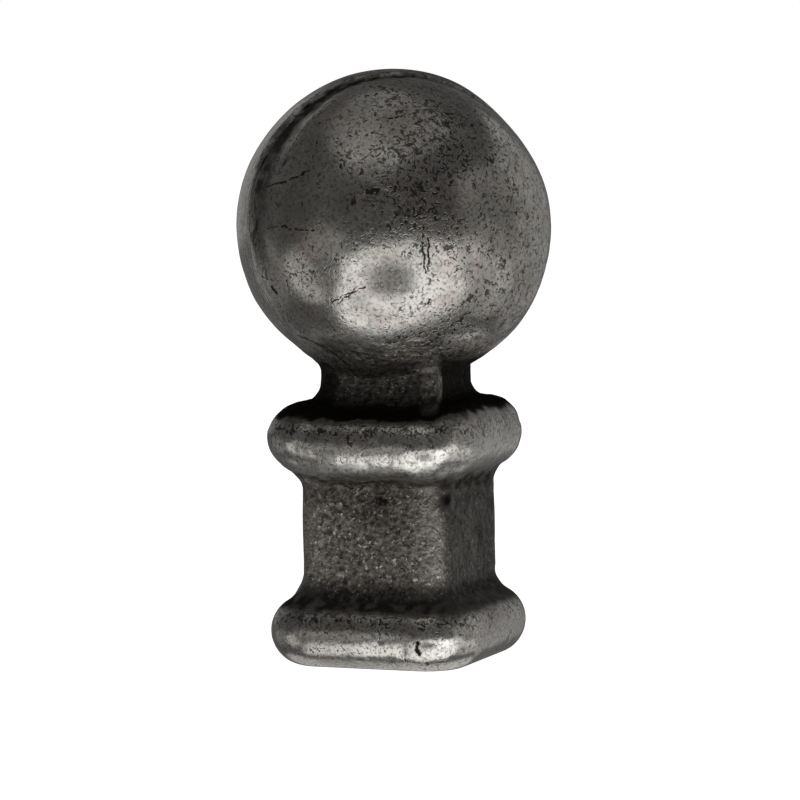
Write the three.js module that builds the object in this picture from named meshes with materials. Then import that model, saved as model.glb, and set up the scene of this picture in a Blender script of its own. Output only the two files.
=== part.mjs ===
// Ball-topped fence spike: one iron casting, a ball on a square neck, with a square shaft between two
// square collars. It stands upright on the flat underside of its lower collar, which seats on a square bar.
// Millimetres, +Z up. The origin is the middle of the underside, the front face looks along -Y.
import * as THREE from "three";
import { mergeVertices } from "three/addons/utils/BufferGeometryUtils.js";

// Ball
const BALL_RADIUS = 25;
const BALL_CENTRE_HEIGHT = 69.2;

// Square stem: half widths across the flats, and the half width of the square that its corner rounds start from
const SHAFT_HALF_WIDTH = 12.7;
const UPPER_COLLAR_HALF_WIDTH = 17.75;
const LOWER_COLLAR_HALF_WIDTH = 17.9;
const NECK_HALF_WIDTH = 9.5;
const STEM_CORNER_START = 8.6;
const NECK_CORNER_START = 7.9;

// Collars: round beads run along the four sides
const UPPER_BEAD_RADIUS = 5.6;
const UPPER_BEAD_HEIGHT = 36.1;
const LOWER_BEAD_RADIUS = 5.5;
const LOWER_BEAD_HEIGHT = 5.3;

// Hollow fillets between the beads and the straight stretches, and between the neck and the ball
const NECK_FILLET = 2.9;
const SHAFT_TOP_FILLET = 3.3;
const SHAFT_FOOT_FILLET = 5;
const BALL_BLEND = 2.2;

// Parting line of the mould round the ball: the plane's facing, its distance in front of the ball's centre,
// how far the front half sits out of line with the rear half, and the width of the step that this leaves
const PARTING_TURN = THREE.MathUtils.degToRad(33);
const PARTING_RISE = THREE.MathUtils.degToRad(5);
const PARTING_OFFSET = 8.2;
const FRONT_HALF_SHIFT = new THREE.Vector3(0.5, 0.2, -0.4);
const STEP_WIDTH = 2.4;

// Places on the ball where the flash was ground off: turn from the front, rise, depth and angular spread
const GROUND_FLATS = [
  { turn: -67, rise: -49, depth: 0.95, spread: 10 },
  { turn: 112, rise: 46, depth: 0.85, spread: 14 },
];

// Fineness of the facets
const SECTION_SEGMENTS = 80;
const PROFILE_STEP = 2.1;
const FILLET_STEPS = 4;
const BALL_START_ANGLE = THREE.MathUtils.degToRad(-76);
const BALL_STEPS = 26;
const MERGE_DISTANCE = 1e-3;

const CAST_IRON = new THREE.MeshStandardMaterial({
  name: "cast_iron",
  color: 0x4b4946,
  roughness: 0.42,
  metalness: 0.9,
});

// Unit vector for a turn from the front (-Y) towards +X and a rise above the horizontal.
function facing(turn, rise) {
  return new THREE.Vector3(
    Math.sin(turn) * Math.cos(rise),
    -Math.cos(turn) * Math.cos(rise),
    Math.sin(rise),
  );
}

// Centre of a hollow fillet that touches a bead on the outside and the upright line at the given half width.
// side is 1 where the line runs up from the bead and -1 where it runs down.
function filletCentre(bead, lineHalfWidth, fillet, side) {
  const across = lineHalfWidth + fillet - bead.x;
  const reach = bead.radius + fillet;
  const rise = Math.sqrt(reach * reach - across * across);
  return new THREE.Vector2(lineHalfWidth + fillet, bead.y + side * rise);
}

// Upright profile of the stem in the plane of half width and height, from the foot up to the neck's top.
function stemProfile() {
  const bead = (halfWidth, height, radius) => ({ x: halfWidth - radius, y: height, radius });
  const lower = bead(LOWER_COLLAR_HALF_WIDTH, LOWER_BEAD_HEIGHT, LOWER_BEAD_RADIUS);
  const upper = bead(UPPER_COLLAR_HALF_WIDTH, UPPER_BEAD_HEIGHT, UPPER_BEAD_RADIUS);
  const foot = filletCentre(lower, SHAFT_HALF_WIDTH, SHAFT_FOOT_FILLET, 1);
  const head = filletCentre(upper, SHAFT_HALF_WIDTH, SHAFT_TOP_FILLET, -1);
  const neck = filletCentre(upper, NECK_HALF_WIDTH, NECK_FILLET, 1);
  const angleTo = (from, to) => Math.atan2(to.y - from.y, to.x - from.x);
  const seatAngle = -Math.asin(LOWER_BEAD_HEIGHT / LOWER_BEAD_RADIUS);
  const footAngle = angleTo(lower, foot);
  const headAngle = angleTo(upper, head);
  const neckAngle = angleTo(upper, neck);

  const path = new THREE.Path();
  path.moveTo(0, 0);
  path.lineTo(lower.x + lower.radius * Math.cos(seatAngle), 0);
  path.absarc(lower.x, lower.y, lower.radius, seatAngle, footAngle, false);
  path.absarc(foot.x, foot.y, SHAFT_FOOT_FILLET, footAngle + Math.PI, Math.PI, true);
  path.absarc(head.x, head.y, SHAFT_TOP_FILLET, Math.PI, headAngle + Math.PI, true);
  path.absarc(upper.x, upper.y, upper.radius, headAngle, neckAngle, false);
  path.absarc(neck.x, neck.y, NECK_FILLET, neckAngle + Math.PI, Math.PI, true);
  path.lineTo(NECK_HALF_WIDTH, BALL_CENTRE_HEIGHT + BALL_RADIUS * Math.sin(BALL_START_ANGLE));
  return { path, neckTop: neck.y };
}

// Points of the whole profile: the stem's curves in even steps, then the ball's arc up to the top.
function profilePoints(path) {
  const points = [];
  for (const curve of path.curves) {
    const even = Math.ceil(curve.getLength() / PROFILE_STEP);
    const hollow = curve.aClockwise === true;
    const underside = points.length === 0;
    const steps = underside ? 1 : hollow ? Math.max(even, FILLET_STEPS) : even;
    const found = curve.getPoints(steps);
    points.push(...(underside ? found : found.slice(1)));
  }
  const arc = new THREE.EllipseCurve(
    0,
    BALL_CENTRE_HEIGHT,
    BALL_RADIUS,
    BALL_RADIUS,
    BALL_START_ANGLE,
    Math.PI / 2,
  );
  points.push(...arc.getPoints(BALL_STEPS).slice(1));
  points[points.length - 1].x = 0;
  return points;
}

// Distance from the axis to the outline of a square with rounded corners, at an angle from a face's middle.
// The rounds are arcs about the corners of the inner square of half width start.
function roundedSquare(angle, halfWidth, start) {
  const quarter = Math.PI / 2;
  const turn = Math.abs(angle - quarter * Math.round(angle / quarter));
  const cos = Math.cos(turn);
  const sin = Math.sin(turn);
  const onFlat = halfWidth / cos;
  if (onFlat * sin <= start) {
    return onFlat;
  }
  const round = halfWidth - start;
  const aside = start * (cos - sin);
  return start * (cos + sin) + Math.sqrt(Math.max(round * round - aside * aside, 0));
}

// The larger of two distances, with the crease between them rounded over the blend's length.
function blendedMax(a, b, blend) {
  const share = THREE.MathUtils.clamp(0.5 + (0.5 * (a - b)) / blend, 0, 1);
  return THREE.MathUtils.lerp(b, a, share) + blend * share * (1 - share);
}

// Outward shift of the ball's skin in a direction from its centre: the front half's step, less the ground flats.
function ballRelief(direction) {
  const parting = facing(PARTING_TURN, PARTING_RISE);
  const ahead = direction.dot(parting) * BALL_RADIUS - PARTING_OFFSET;
  const front = THREE.MathUtils.smoothstep(ahead, -STEP_WIDTH / 2, STEP_WIDTH / 2);
  let relief = front * FRONT_HALF_SHIFT.dot(direction);
  for (const flat of GROUND_FLATS) {
    const { degToRad } = THREE.MathUtils;
    const away = direction.angleTo(facing(degToRad(flat.turn), degToRad(flat.rise)));
    relief -= flat.depth * Math.exp(-0.5 * (away / degToRad(flat.spread)) ** 2);
  }
  return relief;
}

// Distance from the axis to the casting's skin at an angle about the axis and a height.
function skinRadius(angle, halfWidth, height, neckTop) {
  const towardsNeck = THREE.MathUtils.smoothstep(height, UPPER_BEAD_HEIGHT, neckTop);
  const start = THREE.MathUtils.lerp(STEM_CORNER_START, NECK_CORNER_START, towardsNeck);
  const above = height - BALL_CENTRE_HEIGHT;
  const ballSquared = BALL_RADIUS * BALL_RADIUS - above * above;
  if (ballSquared <= 0) {
    return roundedSquare(angle, halfWidth, start);
  }
  const ball = Math.sqrt(ballSquared);
  const outward = new THREE.Vector3(Math.sin(angle) * ball, -Math.cos(angle) * ball, above);
  const relief = ballRelief(outward.normalize());
  if (above > 0) {
    return ball + (relief * ball) / BALL_RADIUS;
  }
  const neck = roundedSquare(angle, NECK_HALF_WIDTH, NECK_CORNER_START);
  return blendedMax(ball + (relief * ball) / BALL_RADIUS, neck, BALL_BLEND);
}

// The same surface without the faces that shrink to a line where the rings meet the axis.
function withoutCollapsedFaces(geometry) {
  const { array } = geometry.index;
  const kept = [];
  for (let i = 0; i < array.length; i += 3) {
    const corners = [array[i], array[i + 1], array[i + 2]];
    if (new Set(corners).size === corners.length) {
      kept.push(...corners);
    }
  }
  return geometry.setIndex(kept);
}

// The casting's surface: the profile turned about the axis, each ring then drawn out to its own outline.
function castingGeometry() {
  const { path, neckTop } = stemProfile();
  const points = profilePoints(path);
  const geometry = new THREE.LatheGeometry(points, SECTION_SEGMENTS);
  geometry.deleteAttribute("normal");
  geometry.deleteAttribute("uv");
  geometry.rotateX(Math.PI / 2);
  const position = geometry.getAttribute("position");
  for (let i = 0; i < position.count; i += 1) {
    const { x: halfWidth, y: height } = points[i % points.length];
    if (halfWidth > 0) {
      const angle = Math.atan2(position.getX(i), -position.getY(i));
      const radius = skinRadius(angle, halfWidth, height, neckTop);
      position.setXY(i, radius * Math.sin(angle), -radius * Math.cos(angle));
    }
  }
  const closed = withoutCollapsedFaces(mergeVertices(geometry, MERGE_DISTANCE));
  closed.computeVertexNormals();
  return closed;
}

const casting = new THREE.Mesh(castingGeometry(), CAST_IRON);
casting.name = "spike_casting";

const spike = new THREE.Group();
spike.name = "ball_topped_fence_spike";
spike.add(casting);

export default spike;
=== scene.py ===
"""Dresses the ball-topped fence spike: a fine surface of the iron casting, its finish, and a plain studio.

Sizes are in millimetres unless a name says otherwise, and are turned into metres where a mesh, a lamp or the
camera is made. Turns are counted from the front face (-Y) towards the right face (+X), in degrees.
"""

import logging
import math
from dataclasses import dataclass, field
from enum import Enum
from typing import Iterable, Sequence

import bpy
import numpy as np
from mathutils import Matrix, Vector


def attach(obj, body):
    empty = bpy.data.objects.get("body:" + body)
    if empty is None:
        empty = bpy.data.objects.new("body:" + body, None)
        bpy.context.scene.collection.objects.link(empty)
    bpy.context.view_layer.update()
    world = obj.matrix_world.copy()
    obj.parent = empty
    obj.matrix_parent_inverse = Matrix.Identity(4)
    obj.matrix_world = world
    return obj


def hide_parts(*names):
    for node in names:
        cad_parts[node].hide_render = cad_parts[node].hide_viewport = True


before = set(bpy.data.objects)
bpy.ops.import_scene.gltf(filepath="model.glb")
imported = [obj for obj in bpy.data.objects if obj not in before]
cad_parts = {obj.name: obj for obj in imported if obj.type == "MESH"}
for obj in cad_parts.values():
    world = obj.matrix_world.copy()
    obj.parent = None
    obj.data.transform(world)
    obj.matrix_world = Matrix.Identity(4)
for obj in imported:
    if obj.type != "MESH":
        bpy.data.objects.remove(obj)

LOG = logging.getLogger("fence_spike")
MM = 0.001
CASTING_NODE = "spike_casting"
BODY = "root"
PHOTO_TURN = 22.5

Span = tuple[float, float]
Triple = tuple[float, float, float]
Colour = tuple[float, float, float, float]
Socket = bpy.types.NodeSocket

COLOUR_MIX_INPUTS = (0, 6, 7)
COLOUR_MIX_OUTPUT = 2

HASH_FACTORS = (73856093, 19349663, 83492791)
HASH_SEED_FACTOR = 2654435761
HASH_MIX_FACTOR = 1274126177
HASH_SHIFTS = (13, 16)
HASH_LARGEST = 0xFFFF
TINY = 1e-9


class Place(Enum):
    """Where on the casting a mark lies."""

    BALL = "ball"
    FRONT = "front"


class Level(Enum):
    """Levels of the casting that heights are counted from."""

    UNDERSIDE = "underside"
    LOWER_COLLAR_TOP = "lower_collar_top"
    UPPER_COLLAR_FOOT = "upper_collar_foot"
    UPPER_COLLAR_TOP = "upper_collar_top"
    NECK_TOP = "neck_top"
    BALL_MIDDLE = "ball_middle"


def facing(turn: float, rise: float) -> np.ndarray:
    """Unit vector for a turn from the front towards +X and a rise above the horizontal, in degrees.

    Args:
        turn: Turn about the upright axis.
        rise: Angle above the horizontal.

    Returns:
        The direction as three numbers.
    """
    t, r = np.radians([turn, rise])
    return np.array([np.sin(t) * np.cos(r), -np.cos(t) * np.cos(r), np.sin(r)])


def rising(value: np.ndarray, span: Span) -> np.ndarray:
    """Rises from 0 at the span's start to 1 at its end along 3t^2 - 2t^3.

    Args:
        value: Values to map.
        span: Value that gives 0 and value that gives 1.

    Returns:
        The mapped values.
    """
    low, high = span
    t = np.clip((value - low) / (high - low), 0.0, 1.0)
    return t * t * (3.0 - 2.0 * t)


def falling(value: np.ndarray, span: Span) -> np.ndarray:
    """Falls from 1 at the span's start to 0 at its end: 1 less the smooth rise.

    Args:
        value: Values to map.
        span: Value that gives 1 and value that gives 0.

    Returns:
        The mapped values.
    """
    return 1.0 - rising(value, span)


def within(value: np.ndarray, span: Span, fade: float) -> np.ndarray:
    """1 inside a span and 0 outside it, with both edges faded over twice the given width.

    Args:
        value: Values to map.
        span: First and last value inside.
        fade: Half width of each edge.

    Returns:
        The mapped values.
    """
    start, end = span
    return rising(value, (start - fade, start + fade)) * falling(value, (end - fade, end + fade))


def bell(value: np.ndarray, middle: float, spread: float | np.ndarray) -> np.ndarray:
    """Bell curve exp(-d^2 / 2), with d the distance from the middle counted in spreads.

    Args:
        value: Values to map.
        middle: Value that gives 1.
        spread: Width of the curve.

    Returns:
        The mapped values.
    """
    return np.exp(-0.5 * ((value - middle) / spread) ** 2)


def lattice_noise(points: np.ndarray, cell: float, seed: int) -> np.ndarray:
    """Smooth noise between -1 and 1: random values on a cubic lattice, blended by smooth steps.

    Args:
        points: Points in mm, the last axis holding x, y and z.
        cell: Lattice spacing in mm.
        seed: Number that picks the random values.

    Returns:
        One value for each point.
    """
    scaled = points / cell
    base = np.floor(scaled).astype(np.int64)
    part = scaled - base
    weight = part * part * (3.0 - 2.0 * part)
    total = np.zeros(points.shape[:-1])
    for corner in np.ndindex(2, 2, 2):
        spot = (base + np.array(corner)).astype(np.uint64)
        mixed = np.bitwise_xor.reduce(spot * np.array(HASH_FACTORS, np.uint64), axis=-1)
        mixed = mixed ^ np.uint64(seed * HASH_SEED_FACTOR)
        mixed = (mixed ^ (mixed >> np.uint64(HASH_SHIFTS[0]))) * np.uint64(HASH_MIX_FACTOR)
        mixed = (mixed ^ (mixed >> np.uint64(HASH_SHIFTS[1]))) & np.uint64(HASH_LARGEST)
        value = 2.0 * mixed.astype(float) / HASH_LARGEST - 1.0
        share = np.prod(np.where(np.array(corner) == 1, weight, 1.0 - weight), axis=-1)
        total += value * share
    return total


def outward_normals(grid: np.ndarray) -> np.ndarray:
    """Unit outward normals of a grid: the cross product of its two tangents by central differences.

    Args:
        grid: Points with ring, column and x, y, z as the three axes.

    Returns:
        The normals, on the same axes.
    """
    along = np.roll(grid, -1, 1) - np.roll(grid, 1, 1)
    up = np.gradient(grid, axis=0)
    normal = np.cross(along, up)
    return normal / np.maximum(np.linalg.norm(normal, axis=-1, keepdims=True), TINY)


@dataclass(frozen=True)
class Ripple:
    """Lattice noise of one size: its strength, its cell in mm and the seed of its random values."""

    strength: float
    cell: float
    seed: int

    def over(self, points: np.ndarray) -> np.ndarray:
        """The noise at each point, between minus and plus its strength."""
        return self.strength * lattice_noise(points, self.cell, self.seed)


@dataclass(frozen=True)
class Edge:
    """A level edge round the casting, where something begins or ends.

    It fades over a stretch of heights in mm from its level. waver is the share of the skin's raggedness that
    moves it up and down, and right is how much higher it lies on the right face.
    """

    level: Level
    fade: Span
    waver: float = 1.0
    right: float = 0.0


@dataclass(frozen=True)
class BallSpot:
    """A soft round spot on the ball: its turn, rise and angular spread in degrees, and its strength."""

    turn: float
    rise: float
    spread: float
    strength: float

    def over(self, way: np.ndarray) -> np.ndarray:
        """Bell curve of the angle from the spot's middle, times its strength.

        Args:
            way: Unit directions from the ball's centre.

        Returns:
            The strength in each direction.
        """
        away = np.degrees(np.arccos(np.clip(way @ facing(self.turn, self.rise), -1.0, 1.0)))
        return self.strength * bell(away, 0.0, self.spread)


@dataclass(frozen=True)
class StemSpot:
    """A soft spot of painted shade on the stem: its middle and spread in mm, and its strength."""

    middle: Triple
    spread: float
    strength: float


@dataclass(frozen=True)
class Crater:
    """A shallow dish in the ball: turn, rise and half sizes in degrees, depth in mm."""

    turn: float = 17.8
    rise: float = 9.2
    half_wide: float = 9.4
    half_high: float = 6.2
    depth: float = 0.26


@dataclass(frozen=True)
class SpikeSizes:
    """Driving sizes of the casting, the same as the solid's but for a crisper step at the parting line."""

    ball_radius: float = 25.0
    ball_height: float = 69.2
    shaft_half: float = 12.7
    upper_collar_half: float = 17.75
    lower_collar_half: float = 17.9
    neck_half: float = 9.5
    stem_corner_start: float = 8.6
    neck_corner_start: float = 7.9
    upper_bead: float = 5.6
    upper_bead_height: float = 36.1
    lower_bead: float = 5.5
    lower_bead_height: float = 5.3
    neck_fillet: float = 2.9
    shaft_top_fillet: float = 3.3
    shaft_foot_fillet: float = 5.0
    ball_blend: float = 2.2
    ball_start: float = -76.0
    parting_turn: float = 33.0
    parting_rise: float = 5.0
    parting_offset: float = 8.2
    front_shift: Triple = (0.5, 0.2, -0.4)
    step_width: float = 1.5
    flats: tuple[BallSpot, ...] = (
        BallSpot(-67.0, -49.0, 10.0, 0.95),
        BallSpot(112.0, 46.0, 14.0, 0.85),
    )


@dataclass(frozen=True)
class Mark:
    """A scratch, crack or nick: strokes along a path on one place of the casting.

    On the ball the points are turn and rise in degrees. On the front face they are mm across and height.
    """

    place: Place
    half_width: float
    path: tuple[Span, ...]
    darkness: float = 0.92


@dataclass(frozen=True)
class Stroke:
    """One straight piece of a mark, with its end points in the flattened coordinates of its place."""

    place: Place
    half_width: float
    darkness: float
    start: Triple
    end: Triple


CASTING_MARKS = (
    Mark(Place.BALL, 0.25, (
        (-37.5, 15.5), (-31.0, 17.8), (-24.5, 18.4), (-19.2, 20.2), (-15.5, 21.2), (-12.3, 23.2),
    )),
    Mark(Place.BALL, 0.19, ((-29.9, 1.6), (-22.0, 2.3), (-14.0, 1.2), (-7.0, 1.1))),
    Mark(Place.BALL, 0.18, ((-2.7, -25.4), (4.5, -22.0), (11.6, -19.5))),
    Mark(Place.BALL, 0.12, ((2.0, -25.0), (8.5, -19.2))),
    Mark(Place.BALL, 0.19, ((33.2, 1.6), (32.8, -4.0), (33.4, -8.0), (33.9, -14.2))),
    Mark(Place.BALL, 0.17, ((33.2, 1.6), (34.9, 0.6), (35.1, -6.0), (35.0, -13.6))),
    Mark(Place.BALL, 0.22, ((36.1, -24.2), (35.7, -26.0))),
    Mark(Place.BALL, 0.17, ((27.0, 5.2), (30.0, 5.4), (32.9, 6.7))),
    Mark(Place.BALL, 0.55, ((8.4, 10.6), (8.2, 12.0)), 0.9),
    Mark(Place.BALL, 0.55, ((13.4, 14.5), (15.4, 15.1), (16.9, 14.7)), 0.95),
    Mark(Place.BALL, 0.2, ((11.0, 12.0), (14.5, 11.2), (18.8, 11.9)), 0.7),
    Mark(Place.BALL, 0.14, ((-26.0, 36.2), (-20.5, 46.5), (-14.0, 56.7)), 0.75),
    Mark(Place.BALL, 0.2, ((21.9, 44.1), (26.5, 45.5))),
    Mark(Place.BALL, 0.14, ((-35.5, -13.0), (-36.6, -16.0), (-34.3, -17.5), (-34.0, -14.5), (-35.5, -13.0))),
    Mark(Place.BALL, 0.4, ((-32.4, -20.6), (-31.0, -22.6))),
    Mark(Place.BALL, 0.3, ((-30.7, -41.3), (-24.0, -43.5), (-17.0, -46.5), (-14.0, -53.0), (-10.8, -59.5))),
    Mark(Place.FRONT, 0.15, ((-12.3, 33.9), (-12.0, 35.1), (-11.3, 35.4), (-10.7, 35.0)), 0.8),
    Mark(Place.FRONT, 0.2, ((-13.0, 4.6), (-13.2, 5.5), (-12.4, 5.7)), 0.7),
    Mark(Place.FRONT, 0.42, ((10.3, 5.0), (10.15, 3.9), (10.4, 3.2)), 0.97),
    Mark(Place.FRONT, 0.3, ((12.3, 6.1), (13.1, 5.8)), 0.75),
    Mark(Place.FRONT, 0.75, ((2.2, 26.4), (3.1, 26.5)), 0.9),
    Mark(Place.FRONT, 0.24, ((-4.0, 29.6), (-2.9, 28.5), (-1.2, 28.2), (0.1, 29.3)), 0.85),
)


@dataclass
class SpikeProfile:
    """Upright profile of the casting: half width across the flats against height, from the foot up."""

    sizes: SpikeSizes
    dense_step: float = 0.05

    def _arc(self, centre: Span, radius: float, start: float, end: float) -> np.ndarray:
        """Points of an arc about centre, from the start angle to the end angle in radians.

        Args:
            centre: Half width and height of the arc's centre.
            radius: Radius of the arc.
            start: First angle.
            end: Last angle.

        Returns:
            Points as rows of half width and height.
        """
        count = max(int(abs(end - start) * radius / self.dense_step), 2)
        angle = np.linspace(start, end, count)
        return np.stack([centre[0] + radius * np.cos(angle), centre[1] + radius * np.sin(angle)], 1)

    def _fillet(self, bead: Span, radius: float, line: float, fillet: float, side: int) -> Span:
        """Centre of the concave fillet that touches a bead's outside and an upright line.

        Args:
            bead: Half width and height of the bead's centre.
            radius: Radius of the bead.
            line: Half width of the upright line.
            fillet: Radius of the fillet.
            side: 1 where the line runs up from the bead, -1 where it runs down.

        Returns:
            Half width and height of the fillet's centre.
        """
        across = line + fillet - bead[0]
        return line + fillet, bead[1] + side * math.sqrt((radius + fillet) ** 2 - across ** 2)

    def level(self, level: Level) -> float:
        """Height in mm of one of the casting's levels. The neck's top is where its fillet ends.

        Args:
            level: The level.

        Returns:
            Its height above the underside.
        """
        s = self.sizes
        bead = (s.upper_collar_half - s.upper_bead, s.upper_bead_height)
        return {
            Level.UNDERSIDE: 0.0,
            Level.LOWER_COLLAR_TOP: s.lower_bead_height + s.lower_bead,
            Level.UPPER_COLLAR_FOOT: s.upper_bead_height - s.upper_bead,
            Level.UPPER_COLLAR_TOP: s.upper_bead_height + s.upper_bead,
            Level.NECK_TOP: self._fillet(bead, s.upper_bead, s.neck_half, s.neck_fillet, 1)[1],
            Level.BALL_MIDDLE: s.ball_height,
        }[level]

    def outline(self) -> np.ndarray:
        """Dense points of the whole profile: underside, lower bead, shaft, upper bead, neck and ball.

        Returns:
            Points as rows of half width and height.
        """
        s = self.sizes
        lower = (s.lower_collar_half - s.lower_bead, s.lower_bead_height)
        upper = (s.upper_collar_half - s.upper_bead, s.upper_bead_height)
        foot = self._fillet(lower, s.lower_bead, s.shaft_half, s.shaft_foot_fillet, 1)
        head = self._fillet(upper, s.upper_bead, s.shaft_half, s.shaft_top_fillet, -1)
        neck = self._fillet(upper, s.upper_bead, s.neck_half, s.neck_fillet, 1)
        seat = -math.asin(s.lower_bead_height / s.lower_bead)
        foot_angle = math.atan2(foot[1] - lower[1], foot[0] - lower[0])
        head_angle = math.atan2(head[1] - upper[1], head[0] - upper[0])
        neck_angle = math.atan2(neck[1] - upper[1], neck[0] - upper[0])
        ball_start = math.radians(s.ball_start)
        ball = (0.0, s.ball_height)
        return np.concatenate([
            np.array([[0.0, 0.0]]),
            self._arc(lower, s.lower_bead, seat, foot_angle),
            self._arc(foot, s.shaft_foot_fillet, foot_angle + math.pi, math.pi),
            self._arc(head, s.shaft_top_fillet, math.pi, head_angle + math.pi),
            self._arc(upper, s.upper_bead, head_angle, neck_angle),
            self._arc(neck, s.neck_fillet, neck_angle + math.pi, math.pi),
            self._arc(ball, s.ball_radius, ball_start, math.pi / 2),
        ])

    def rings(self, count: int, underside_rings: int) -> tuple[np.ndarray, np.ndarray]:
        """Half widths and heights of the rings between the two poles, evenly spaced along the profile.

        Args:
            count: Number of rings.
            underside_rings: Number of them on the flat underside.

        Returns:
            Half widths and heights of the rings.
        """
        line = self.outline()
        edge = line[1]
        share = np.arange(1, underside_rings + 1) / (underside_rings + 1)
        under = share[:, None] * edge
        side = line[1:]
        length = np.concatenate([[0.0], np.cumsum(np.hypot(*np.diff(side, axis=0).T))])
        at = np.linspace(0.0, length[-1], count - underside_rings + 1)[:-1]
        half = np.interp(at, length, side[:, 0])
        height = np.interp(at, length, side[:, 1])
        return np.concatenate([under[:, 0], half]), np.concatenate([under[:, 1], height])

    def reach(self, height: float) -> float:
        """Half width of the stem's face at a height, by straight lines between the profile's points.

        Args:
            height: Height above the underside.

        Returns:
            The half width.
        """
        side = self.outline()[1:]
        order = np.argsort(side[:, 1])
        return float(np.interp(height, side[order, 1], side[order, 0]))


@dataclass
class Sheet:
    """Lays out the nodes of one node tree. Values may be numbers, colours or sockets."""

    tree: bpy.types.NodeTree

    def node(self, kind: str, **settings: object) -> bpy.types.Node:
        """A new node with its properties set.

        Args:
            kind: Blender's name for the kind of node.
            settings: Properties by name.

        Returns:
            The node.
        """
        made = self.tree.nodes.new(kind)
        for name, value in settings.items():
            setattr(made, name, value)
        return made

    def feed(self, socket: Socket, value: object) -> None:
        """Links value to the socket if it is a socket, and sets it as the socket's own value if not.

        Args:
            socket: Socket that takes the value.
            value: A socket, a number or a colour.
        """
        if isinstance(value, bpy.types.NodeSocket):
            self.tree.links.new(value, socket)
        else:
            socket.default_value = value

    def math(self, operation: str, *values: object, clamp: bool = False) -> Socket:
        """Result of a math node on up to three values.

        Args:
            operation: Blender's name for the operation.
            values: The values it works on.
            clamp: Whether the result is held between 0 and 1.

        Returns:
            The result's socket.
        """
        made = self.node("ShaderNodeMath", operation=operation, use_clamp=clamp)
        for socket, value in zip(made.inputs, values):
            self.feed(socket, value)
        return made.outputs[0]

    def vector(self, operation: str, *values: object, out: str = "Vector") -> Socket:
        """Result of a vector math node on up to three values.

        Args:
            operation: Blender's name for the operation.
            values: The values it works on.
            out: Name of the output that is wanted.

        Returns:
            The result's socket.
        """
        made = self.node("ShaderNodeVectorMath", operation=operation)
        for socket, value in zip(made.inputs, values):
            self.feed(socket, value)
        return made.outputs[out]

    def scaled(self, value: object, factor: object) -> Socket:
        """A vector times a factor.

        Args:
            value: The vector.
            factor: The factor.

        Returns:
            The product's socket.
        """
        made = self.node("ShaderNodeVectorMath", operation="SCALE")
        self.feed(made.inputs[0], value)
        self.feed(made.inputs["Scale"], factor)
        return made.outputs[0]

    def noise(self, place: Socket, cells: object, detail: float = 2.0, rough: float = 0.5,
              warp: float = 0.0) -> Socket:
        """Noise over a place in mm.

        Args:
            place: Coordinates in mm.
            cells: Cells in a mm.
            detail: Octaves.
            rough: Weight of the finer octaves.
            warp: How far the noise is warped by itself.

        Returns:
            The noise's socket, from 0 to 1.
        """
        made = self.node("ShaderNodeTexNoise")
        for name, value in (("Vector", place), ("Scale", cells), ("Detail", detail),
                            ("Roughness", rough), ("Distortion", warp)):
            self.feed(made.inputs[name], value)
        return made.outputs["Fac"]

    def span(self, value: object, source: Span, target: Span = (0.0, 1.0)) -> Socket:
        """Maps value from the source span to the target span along a smooth step, held at the ends.

        Args:
            value: Value to map.
            source: Values that give the target's ends.
            target: First and last result.

        Returns:
            The result's socket.
        """
        made = self.node("ShaderNodeMapRange", interpolation_type="SMOOTHSTEP")
        for name, number in (("Value", value), ("From Min", source[0]), ("From Max", source[1]),
                             ("To Min", target[0]), ("To Max", target[1])):
            self.feed(made.inputs[name], number)
        return made.outputs["Result"]

    def mix(self, share: object, first: object, second: object) -> Socket:
        """Colour between first and second by a share.

        Args:
            share: 0 for the first colour, 1 for the second.
            first: First colour.
            second: Second colour.

        Returns:
            The colour's socket.
        """
        made = self.node("ShaderNodeMix", data_type="RGBA")
        for index, value in zip(COLOUR_MIX_INPUTS, (share, first, second)):
            self.feed(made.inputs[index], value)
        return made.outputs[COLOUR_MIX_OUTPUT]


SocketList = Sequence[tuple[str, str]]
GroupParts = tuple[Sheet, bpy.types.Node, bpy.types.Node]
VALUE = "NodeSocketFloat"
VECTOR = "NodeSocketVector"


def new_group(name: str, inputs: SocketList, outputs: SocketList) -> GroupParts:
    """A shader node group with named sockets.

    Args:
        name: Name of the group.
        inputs: Name and socket type of each input.
        outputs: Name and socket type of each output.

    Returns:
        The group's sheet, its input node and its output node.
    """
    tree = bpy.data.node_groups.new(name, "ShaderNodeTree")
    for way, sockets in (("INPUT", inputs), ("OUTPUT", outputs)):
        for label, kind in sockets:
            tree.interface.new_socket(name=label, in_out=way, socket_type=kind)
    sheet = Sheet(tree)
    return sheet, sheet.node("NodeGroupInput"), sheet.node("NodeGroupOutput")


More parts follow.
